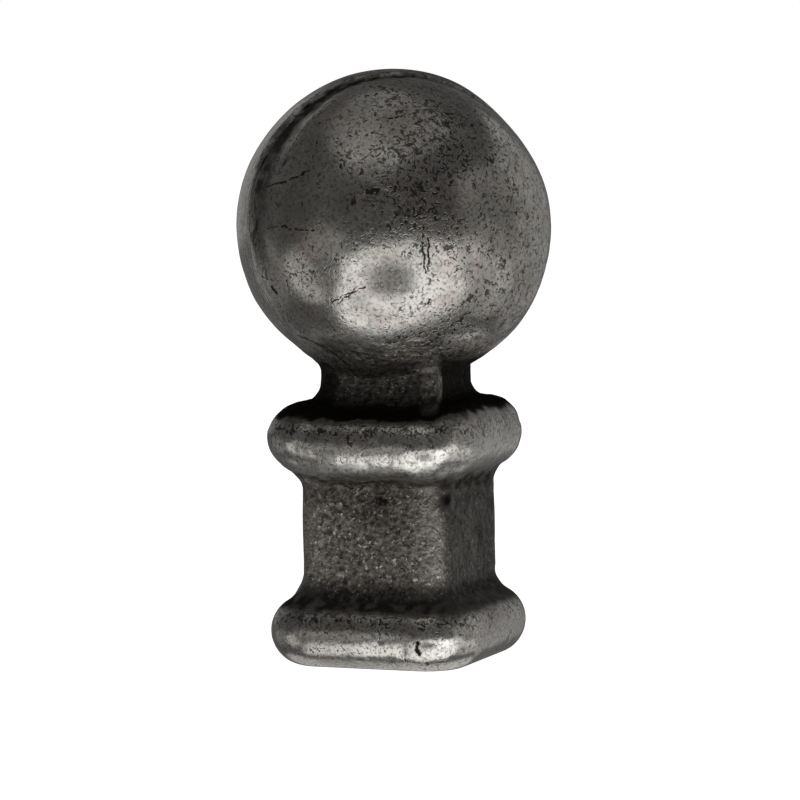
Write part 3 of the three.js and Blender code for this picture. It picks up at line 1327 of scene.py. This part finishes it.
    def _groove(self) -> np.ndarray:
        """Painted shade: the dark band along the parting line and the darker crease at its outer edge.

        Returns:
            The mask.
        """
        skin = self.skin
        to_front = falling(skin.ahead + self.groove_end_waver * skin.ragged, self.groove_end)
        band = self.groove_dark * rising(skin.inside_groove(), self.groove_start) * to_front
        crease = (self.crease_dark + self.crease_ripple.over(skin.grid)) * skin.crease()
        return np.maximum(band, crease) * skin.along_edge(skin.groove_part) * skin.on_ball

    def _rear_top(self) -> np.ndarray:
        """Shade on the top of the ball's rear half.

        Returns:
            The mask.
        """
        skin = self.skin
        behind = falling(skin.ahead, self.rear_top_end) * skin.on_ball
        return self.rear_top_dark * behind * skin.along_edge(self.rear_top_part)

    def rim(self) -> np.ndarray:
        """Ground band of the ball's rear half, from the parting line back to a ragged edge.

        Returns:
            The mask.
        """
        skin = self.skin
        behind = falling(skin.ahead + skin.groove_drift, self.rim_front)
        return behind * rising(skin.ahead + self.rim_back_waver * skin.ragged, self.rim_back) * skin.on_ball

    def wear_and_sheen(self) -> np.ndarray:
        """Rubbed metal: the collars' corners, the rib and the flash; and a painted highlight along the upper
        collar's lower roll.

        Returns:
            The mask.
        """
        skin = self.skin
        upper = skin.between(self.upper_collar_edges)
        lower = 1.0 - skin.above(self.lower_collar_end)
        at_left = rising(-skin.turn, self.left_corner_turn)
        near_corner = rising(skin.short_side / np.maximum(skin.long_side, TINY), self.corner_wear_start)
        from_foot = skin.over(Level.UPPER_COLLAR_FOOT)
        # The band on the upper collar's lower roll is a painted highlight, weaker at the left corner.
        on_roll = bell(from_foot, self.roll_sheen_height, self.roll_sheen_spread)
        corners, roll = (
            place * (strong + (weak - strong) * at_left)
            for place, (strong, weak) in ((near_corner, self.corner_wear), (on_roll, self.roll_sheen))
        )
        collars = self.upper_collar_wear * upper + self.lower_collar_wear * lower
        collars = collars + (corners + roll) * (upper + lower)
        rib = (self.rib_wear + self.rib_wear_ripple.over(skin.grid)) * skin.rib()
        return collars + rib * skin.between(self.rib_wear_edges) + self.flash_wear * skin.flash()

    def speckle(self) -> np.ndarray:
        """Where pits crowd: on the ball by its spots, less at its left, and on the collars' shoulders.

        Returns:
            The mask.
        """
        skin = self.skin
        smooth_left = self.left_smoothing * rising(skin.leftward, self.left_smoothing_start)
        at_top = self.left_smoothing_top_loss * skin.above(self.left_smoothing_top)
        way = skin.from_ball / np.linalg.norm(skin.from_ball, axis=-1, keepdims=True)
        spots = sum(spot.over(way) for spot in self.ball_pit_spots)
        ball = self.ball_pits + self.ball_pit_ripple.over(skin.grid) - smooth_left * (1.0 - at_top) + spots
        stem = self.stem_pits + sum(
            bell(skin.over(level), height, self.shoulder_pit_spread) for level, height in self.shoulder_pits
        )
        return skin.on_ball * ball + (1.0 - skin.on_ball) * stem


@dataclass
class SkinRelief:
    """Outward shift of the skin that a mesh can carry, in mm.

    out_of_line and swelling give a shift for a few heights, with straight lines between them: out_of_line to
    the photograph's right and swelling outwards all round.
    """

    skin: Skin
    waves: tuple[Ripple, ...] = (Ripple(0.1, 11.0, 1), Ripple(0.04, 5.0, 2))
    dent_depth: float = 0.1
    dent_loss_on_ball: float = 0.85
    dent_ripple: Ripple = Ripple(1.0, 1.9, 3)
    dent_span: Span = (0.1, 0.7)
    grain: Ripple = Ripple(0.08, 1.3, 4)
    groove_depth: float = 0.22
    chamfer_part: Span = (25.0, 125.0)
    chamfer_depth: float = 0.6
    chamfer_start: Span = (-0.3, 0.6)
    chamfer_width: float = 2.2
    flash_height: float = 0.1
    rib_height: float = 0.8
    rib_edges: tuple[Edge, Edge] = (
        Edge(Level.UPPER_COLLAR_TOP, (-0.3, 0.2), 0.0), Edge(Level.NECK_TOP, (1.0, 4.5), 0.0),
    )
    bow_depth: float = 0.45
    bow_edges: tuple[Edge, Edge] = (
        Edge(Level.UPPER_COLLAR_FOOT, (0.0, 2.0), 0.0), Edge(Level.UPPER_COLLAR_TOP, (-2.7, -0.7), 0.0),
    )
    bow_left_turns: tuple[Span, Span] = ((8.0, 28.0), (36.0, 60.0))
    roll_height: float = 1.2
    roll_angle: float = 75.0
    roll_turns: tuple[Span, Span] = ((-36.0, -22.0), (38.0, 50.0))
    roll_end: Span = (0.92, 1.4)
    crater: Crater = Crater()
    crater_edge: Span = (0.78, 1.06)
    crater_ripple: Ripple = Ripple(0.15, 2.5, 12)
    foot_end: Edge = Edge(Level.UNDERSIDE, (0.4, 3.0), 0.0)
    out_of_line: tuple[Span, ...] = (
        (12.3, 0.0), (14.3, 0.3), (29.0, 0.26), (34.0, -0.15), (37.7, -0.28), (40.3, 0.0),
        (50.5, 0.3), (56.0, 0.2), (64.0, 0.0),
    )
    swelling: tuple[Span, ...] = (
        (28.0, 0.0), (30.0, 0.32), (32.0, 0.1), (40.5, 0.1), (43.0, 0.25), (48.0, 0.0),
        (50.0, 0.0), (53.0, 0.18), (58.0, 0.18), (62.0, 0.0), (90.0, 0.0), (94.2, 0.2),
    )

    def shift(self, sand: np.ndarray) -> np.ndarray:
        """The whole shift. Fine forms fade out towards the flat underside.

        Args:
            sand: Mask of the unworked skin, which carries sand grain.

        Returns:
            The shift in mm.
        """
        skin = self.skin
        waves = sum(ripple.over(skin.grid) for ripple in self.waves)
        dents = rising(self.dent_ripple.over(skin.grid), self.dent_span)
        dents = self.dent_depth * (1.0 - self.dent_loss_on_ball * skin.on_ball) * dents
        rib = self.rib_height * skin.rib() * skin.between(self.rib_edges)
        fine = waves - dents + self.grain.over(skin.grid) * sand + rib + self._parting() + self._dish()
        return self._collar() + self._stem() + fine * skin.above(self.foot_end)

    def _parting(self) -> np.ndarray:
        """Along the parting line: a narrow groove, the front half's worn edge near the top, and the flash.

        The groove is a bell curve of the distance inside its edge. The worn edge sinks at its start and
        comes back by exp(-d / width).

        Returns:
            The shift in mm.
        """
        skin, inside = self.skin, self.skin.inside_groove()
        groove = self.groove_depth * skin.crease() * skin.along_edge(skin.groove_part)
        sunk = rising(inside, self.chamfer_start)
        sunk = sunk * np.exp(-np.maximum(inside - self.chamfer_start[1], 0.0) / self.chamfer_width)
        chamfer = self.chamfer_depth * sunk * skin.along_edge(self.chamfer_part)
        return self.flash_height * skin.flash() - (groove + chamfer) * skin.on_ball

    def _collar(self) -> np.ndarray:
        """The upper collar's front, rolled a little, and its left part, bowed inwards.

        The roll grows with the angle t round the bead as t - t^3 / 3 and fades out in the fillets.

        Returns:
            The shift in mm.
        """
        skin, sizes = self.skin, self.skin.profile.sizes
        bow_start, bow_end = self.bow_left_turns
        bowed = rising(-skin.turn, bow_start) * falling(-skin.turn, bow_end) * skin.between(self.bow_edges)
        roll_start, roll_end = self.roll_turns
        rolled = rising(skin.turn, roll_start) * falling(skin.turn, roll_end)
        below = (sizes.upper_bead_height - skin.height) / sizes.upper_bead
        tilted = np.arcsin(np.clip(below, -1.0, 1.0)) / np.radians(self.roll_angle)
        rolled = rolled * falling(np.abs(below), self.roll_end)
        return self.roll_height * (tilted - tilted ** 3 / 3.0) * rolled - self.bow_depth * bowed

    def _dish(self) -> np.ndarray:
        """The crater: sunk inside an ellipse of turn and rise with a ragged edge.

        Returns:
            The shift in mm.
        """
        skin, crater, sizes = self.skin, self.crater, self.skin.profile.sizes
        rise = np.degrees(np.arcsin(np.clip(skin.over(Level.BALL_MIDDLE) / sizes.ball_radius, -1.0, 1.0)))
        across = (skin.turn - crater.turn) / crater.half_wide
        away = np.hypot(across, (rise - crater.rise) / crater.half_high) + self.crater_ripple.over(skin.grid)
        return -crater.depth * falling(away, self.crater_edge) * skin.on_ball

    def _stem(self) -> np.ndarray:
        """Slow departures from the true form up the casting: drift to the side and swelling.

        Returns:
            The shift in mm.
        """
        skin = self.skin
        drift = np.interp(skin.height, *np.array(self.out_of_line).T)
        swell = np.interp(skin.height, *np.array(self.swelling).T)
        return drift * (skin.normals @ facing(PHOTO_TURN + 90.0, 0.0)) + swell


@dataclass
class SpikeCasting:
    """The whole casting as one fine closed surface, with its relief, masks and finish."""

    sizes: SpikeSizes = field(default_factory=SpikeSizes)
    finish: IronFinish = field(default_factory=IronFinish)
    columns: int = 300
    ring_count: int = 326
    underside_rings: int = 6
    marks: tuple[Mark, ...] = CASTING_MARKS

    def __post_init__(self) -> None:
        """Works out the profile that the sizes give."""
        self.profile = SpikeProfile(self.sizes)

    def _rounded_square(self, angle: np.ndarray, half: np.ndarray, start: np.ndarray) -> np.ndarray:
        """Distance from the axis to a square with round corners.

        On the flats it is half / cos of the turn from the face's middle. Past the inner square's corner it
        is the far crossing with the arc about that corner.

        Args:
            angle: Angle about the axis, in radians.
            half: Half width across the flats.
            start: Half width of the inner square whose corners the arcs are about.

        Returns:
            The distances.
        """
        quarter = np.pi / 2
        turn = np.abs(angle - quarter * np.round(angle / quarter))
        cos, sin = np.cos(turn), np.sin(turn)
        flat = half / cos
        aside = start * (cos - sin)
        arc = start * (cos + sin) + np.sqrt(np.maximum((half - start) ** 2 - aside ** 2, 0.0))
        return np.where(flat * sin <= start, flat, arc)

    def _ball_relief(self, way: np.ndarray) -> np.ndarray:
        """Outward shift of the ball's skin: the front half's step at the parting line, less the flats.

        Args:
            way: Unit directions from the ball's centre.

        Returns:
            The shift in mm.
        """
        s = self.sizes
        ahead = way @ facing(s.parting_turn, s.parting_rise) * s.ball_radius - s.parting_offset
        front = rising(ahead, (-s.step_width / 2, s.step_width / 2))
        return front * (way @ np.array(s.front_shift)) - sum(flat.over(way) for flat in s.flats)

    def surface(self) -> np.ndarray:
        """Points of the smooth casting on a grid of rings and columns.

        Each ring of the profile is drawn out to a square with round corners. From the neck up, the distance
        from the axis is the smooth maximum of the neck's square and the ball.

        Returns:
            Points in mm, with ring, column and x, y, z as the three axes.
        """
        s = self.sizes
        neck_top = self.profile.level(Level.NECK_TOP)
        half, height = self.profile.rings(self.ring_count, self.underside_rings)
        angle = np.linspace(0.0, 2 * np.pi, self.columns, endpoint=False)
        half, height = half[:, None], height[:, None]
        to_neck = rising(height, (s.upper_bead_height, neck_top))
        start = s.stem_corner_start + (s.neck_corner_start - s.stem_corner_start) * to_neck
        inner = np.minimum(start, half * start / np.where(height > 0.0, start, self.profile.outline()[1, 0]))
        stem = self._rounded_square(angle, half, inner)
        above = height - s.ball_height
        ball = np.sqrt(np.maximum(s.ball_radius ** 2 - above ** 2, 0.0))
        way = np.stack(np.broadcast_arrays(ball * np.sin(angle), -ball * np.cos(angle), above), -1)
        way = way / np.maximum(np.linalg.norm(way, axis=-1, keepdims=True), TINY)
        skin = ball * (1.0 + self._ball_relief(way) / s.ball_radius)
        neck_half, neck_start = np.full_like(half, s.neck_half), np.full_like(half, s.neck_corner_start)
        neck = self._rounded_square(angle, neck_half, neck_start)
        share = np.clip(0.5 + 0.5 * (skin - neck) / s.ball_blend, 0.0, 1.0)
        joined = neck + (skin - neck) * share + s.ball_blend * share * (1.0 - share)
        joined = np.where(above > 0.0, skin, joined)
        radius = np.where((above > -s.ball_radius) & (height >= neck_top), joined, stem)
        return np.stack(np.broadcast_arrays(radius * np.sin(angle), -radius * np.cos(angle), height), -1)

    def strokes(self) -> list[Stroke]:
        """Straight pieces of all the marks, in the flattened coordinates of their places.

        Returns:
            The pieces, in the order of the marks.
        """
        pieces: list[Stroke] = []
        for mark in self.marks:
            points = [self._on(mark.place, spot) for spot in mark.path]
            ends = zip(points, points[1:])
            pieces += [Stroke(mark.place, mark.half_width, mark.darkness, *pair) for pair in ends]
        return pieces

    def _on(self, place: Place, spot: Span) -> Triple:
        """Point of a spot: from the ball's centre on the ball, and flattened from the origin on the front.

        Args:
            place: Where the spot lies.
            spot: Turn and rise on the ball, or mm across and height on the front.

        Returns:
            The point in mm.
        """
        if place is Place.BALL:
            return tuple(self.sizes.ball_radius * facing(*spot))
        across, height = spot
        on_face = np.array([across, -self.profile.reach(height), height])
        return tuple(on_face * np.array(self.finish.front_flattening))

    def build(self) -> bpy.types.Object:
        """Makes the casting's mesh, closes its poles, stores the masks and dresses it.

        Returns:
            The finished object, at the origin.
        """
        skin = Skin(self.surface(), self.profile)
        masks = SkinMasks(skin).all()
        grid = skin.grid + skin.normals * SkinRelief(skin).shift(masks["sand"])[..., None]
        grid[..., 2] = np.maximum(grid[..., 2], 0.0)
        rings, columns = grid.shape[:2]
        top = np.array([0.0, 0.0, grid[-1, :, 2].mean()])
        points = np.concatenate([grid.reshape(-1, 3), [[0.0, 0.0, 0.0]], [top]]) * MM
        number = np.arange(rings * columns).reshape(rings, columns)
        beside = np.roll(number, -1, 1)
        quads = np.stack([number[:-1], beside[:-1], beside[1:], number[1:]], -1).reshape(-1, 4)
        bottom_pole, top_pole = rings * columns, rings * columns + 1
        bottom = np.stack([beside[0], number[0], np.full(columns, bottom_pole)], -1)
        cap = np.stack([number[-1], beside[-1], np.full(columns, top_pole)], -1)
        mesh = bpy.data.meshes.new("fence_spike")
        mesh.from_pydata(points, [], quads.tolist() + bottom.tolist() + cap.tolist())
        for name, mask in masks.items():
            stored = mesh.attributes.new(name, "FLOAT", "POINT")
            stored.data.foreach_set("value", np.concatenate([mask.ravel(), [0.0, 0.0]]).astype(np.float32))
        mesh.polygons.foreach_set("use_smooth", np.ones(len(mesh.polygons), bool))
        mesh.update()
        mesh.materials.append(self.finish.material(self.strokes(), self.sizes))
        piece = bpy.data.objects.new("fence_spike", mesh)
        bpy.context.scene.collection.objects.link(piece)
        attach(piece, BODY)
        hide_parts(CASTING_NODE)
        LOG.info("%s: %d faces", piece.name, len(mesh.polygons))
        return piece


@dataclass(frozen=True)
class SoftBox:
    """A flat lamp, placed in mm to the camera's right, towards the camera and up from the floor.

    It faces the aim, a place given in the same way, and has a width and a height in mm and a radiance.
    """

    name: str
    middle: Triple
    aim: Triple
    width: float
    height: float
    radiance: float
    round: bool = False


SOFT_BOXES = (
    SoftBox("overhead", (-40, 70, 627), (0, 0, 69), 740, 760, 0.25, round=True),
    SoftBox("overhead_core", (-122, 266, 474), (0, 0, 69), 360, 300, 0.28, round=True),
    SoftBox("right_front", (575, 140, 100), (0, 0, 60), 620, 760, 0.26),
    SoftBox("right_back", (520, -380, 60), (0, 0, 50), 560, 960, 0.39),
    SoftBox("right_low", (374, 53, -176), (0, 0, 69), 400, 280, 0.52, round=True),
    SoftBox("right_level", (330, 300, -58), (0, 0, 60), 320, 140, 1.0, round=True),
    SoftBox("left_low", (-392, 84, -116), (0, 0, 69), 215, 240, 0.9, round=True),
    SoftBox("left_level", (-351, 275, 12), (0, 0, 69), 260, 150, 0.45, round=True),
    SoftBox("left_back", (-484, -222, -101), (0, 0, 60), 380, 300, 0.2, round=True),
    SoftBox("left_rim", (-330, -540, 240), (0, 0, 69), 420, 460, 0.22),
    SoftBox("floor_glow", (0, -150, -260), (0, 17, 2), 500, 300, 0.7, round=True),
)


@dataclass
class Studio:
    """Pale floor, soft lamps, a plain surround and the camera at the photograph's angle.

    The lamps stand overhead, at the right, at the left and below the floor, which reflections don't show.
    Places are in mm to the camera's right, towards the camera and up from the floor.
    """

    sizes: SpikeSizes = field(default_factory=SpikeSizes)
    rise: float = 4.0
    distance: float = 600.0
    pivot: float = 48.0
    roll: float = 0.93
    aim_right: float = 0.67
    aim_drop: float = 6.54
    pixels_per_mm: float = 6.244
    frame_pixels: float = 800.0
    sensor: float = 36.0
    clip_end_m: float = 100.0
    floor_side: float = 8000.0
    floor_colour: Colour = (0.9, 0.9, 0.89, 1.0)
    floor_roughness: float = 0.9
    floor_glow: float = 0.95
    surround: float = 0.155
    lamps: tuple[SoftBox, ...] = SOFT_BOXES
    panel_colour: Colour = (0.02, 0.02, 0.02, 1.0)
    panel_tint: Colour = (0.976, 0.992, 1.0, 1.0)
    window_middle: Triple = (35.0, 342.0, -221.0)
    window_outline: tuple[Span, ...] = (
        (-380.0, -440.0), (-130.0, -440.0), (10.0, -325.0), (280.0, -245.0), (420.0, -50.0),
        (340.0, 200.0), (170.0, 290.0), (-200.0, 245.0), (-430.0, 130.0), (-450.0, -180.0),
    )
    window_glow: float = 2.0
    card_middle: Triple = (-14.0, 274.0, -93.0)
    card_half_sizes: Span = (86.0, 60.0)
    card_corners: int = 32
    card_glow: float = 0.35

    def spot(self, place: Triple) -> np.ndarray:
        """A place in the frame's own axes, from mm to the camera's right, towards the camera and up.

        Args:
            place: The three distances.

        Returns:
            The point in mm.
        """
        right, front, up = place
        level = right * facing(PHOTO_TURN + 90.0, 0.0) + front * facing(PHOTO_TURN, 0.0)
        return level + np.array([0.0, 0.0, up])

    def add(self, made: bpy.types.Object) -> bpy.types.Object:
        """Puts an object in the scene and returns it."""
        bpy.context.scene.collection.objects.link(made)
        return made

    def add_camera(self) -> None:
        """The camera: it stands off at the photograph's turn and rise and aims a little below the middle."""
        middle = Vector((0.0, 0.0, self.pivot))
        place = middle + Vector(facing(PHOTO_TURN, self.rise)) * self.distance
        aim = Vector(self.spot((self.aim_right, 0.0, self.pivot - self.aim_drop)))
        data = bpy.data.cameras.new("photo_camera")
        data.sensor_width = self.sensor
        data.lens = self.sensor * self.distance * self.pixels_per_mm / self.frame_pixels
        data.clip_end = self.clip_end_m
        camera = self.add(bpy.data.objects.new("photo_camera", data))
        look = (aim - place).to_track_quat("-Z", "Y").to_matrix()
        look = look @ Matrix.Rotation(math.radians(-self.roll), 3, "Z")
        camera.matrix_world = Matrix.Translation(place * MM) @ look.to_4x4()
        bpy.context.scene.camera = camera

    def glowing(self, name: str, colour: Colour, tint: Colour, glow: float) -> bpy.types.Material:
        """A material that gives off light of its own.

        Args:
            name: Name of the material.
            colour: Base colour.
            tint: Colour of the light.
            glow: Radiance.

        Returns:
            The material.
        """
        material = bpy.data.materials.new(name)
        material.use_nodes = True
        shader = material.node_tree.nodes["Principled BSDF"]
        shader.inputs["Base Color"].default_value = colour
        shader.inputs["Emission Color"].default_value = tint
        shader.inputs["Emission Strength"].default_value = glow
        return material

    def add_floor(self) -> None:
        """A large pale floor under the casting."""
        half = self.floor_side / 2 * MM
        corners = [(-half, -half, 0.0), (half, -half, 0.0), (half, half, 0.0), (-half, half, 0.0)]
        mesh = bpy.data.meshes.new("floor")
        mesh.from_pydata(corners, [], [(0, 1, 2, 3)])
        material = self.glowing("pale_floor", self.floor_colour, (1.0, 1.0, 1.0, 1.0), self.floor_glow)
        shader = material.node_tree.nodes["Principled BSDF"]
        shader.inputs["Roughness"].default_value = self.floor_roughness
        mesh.materials.append(material)
        floor = self.add(bpy.data.objects.new("floor", mesh))
        floor.visible_glossy = False
        floor.visible_shadow = False

    def add_panel(self, name: str, middle: Triple, outline: np.ndarray, glow: float) -> None:
        """A flat glowing panel that faces the ball.

        Args:
            name: Name of the panel.
            middle: Its middle, seen from the camera.
            outline: Its corners in mm, to the right and up in its own plane.
            glow: Radiance.
        """
        place = self.spot(middle)
        out = place - np.array([0.0, 0.0, self.sizes.ball_height])
        out = out / np.linalg.norm(out)
        right = np.cross([0.0, 0.0, 1.0], out)
        right = right / np.linalg.norm(right)
        corners = (place + outline @ np.stack([right, np.cross(out, right)])) * MM
        mesh = bpy.data.meshes.new(name)
        mesh.from_pydata(corners.tolist(), [], [tuple(range(len(corners)))])
        mesh.materials.append(self.glowing(name, self.panel_colour, self.panel_tint, glow))
        panel = self.add(bpy.data.objects.new(name, mesh))

    def add_front_panels(self) -> None:
        """The window low in front, and a grey card before it that dims the middle of its reflection."""
        self.add_panel("front_window", self.window_middle, np.array(self.window_outline), self.window_glow)
        angle = np.linspace(0.0, 2 * np.pi, self.card_corners, endpoint=False)
        card = np.stack([np.cos(angle), np.sin(angle)], 1) * np.array(self.card_half_sizes)
        self.add_panel("grey_card", self.card_middle, card, self.card_glow)

    def add_lamps(self) -> None:
        """Hangs each soft box so that it shows in reflections and not to the camera."""
        for box in self.lamps:
            data = bpy.data.lights.new(box.name, "AREA")
            data.shape = "ELLIPSE" if box.round else "RECTANGLE"
            data.size = box.width * MM
            data.size_y = box.height * MM
            area = data.size * data.size_y * (math.pi / 4 if box.round else 1.0)
            data.energy = box.radiance * math.pi * area
            lamp = self.add(bpy.data.objects.new(box.name, data))
            place = Vector(self.spot(box.middle))
            rotation = (Vector(self.spot(box.aim)) - place).to_track_quat("-Z", "Y").to_matrix()
            lamp.matrix_world = Matrix.Translation(place * MM) @ rotation.to_4x4()
            lamp.visible_camera = False

    def add_surround(self) -> None:
        """A dim even surround that the camera sees as white."""
        world = bpy.data.worlds.new("surround")
        bpy.context.scene.world = world
        world.use_nodes = True
        sheet = Sheet(world.node_tree)
        background = world.node_tree.nodes["Background"]
        path = sheet.node("ShaderNodeLightPath")
        background.inputs["Color"].default_value = (1.0, 1.0, 1.0, 1.0)
        strength = sheet.span(path.outputs["Is Camera Ray"], (0.0, 1.0), (self.surround, 1.0))
        sheet.feed(background.inputs["Strength"], strength)

    def build(self) -> None:
        """Sets up the whole studio."""
        self.add_camera()
        self.add_floor()
        self.add_front_panels()
        self.add_lamps()
        self.add_surround()
        bpy.context.scene.view_settings.view_transform = "Standard"
        LOG.info("studio: camera, floor, lamps and surround")


def main() -> None:
    """Builds the studio and the casting."""
    logging.basicConfig(level=logging.INFO, format="%(name)s %(message)s")
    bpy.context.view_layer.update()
    Studio().build()
    SpikeCasting().build()


if __name__ == "__main__":
    main()
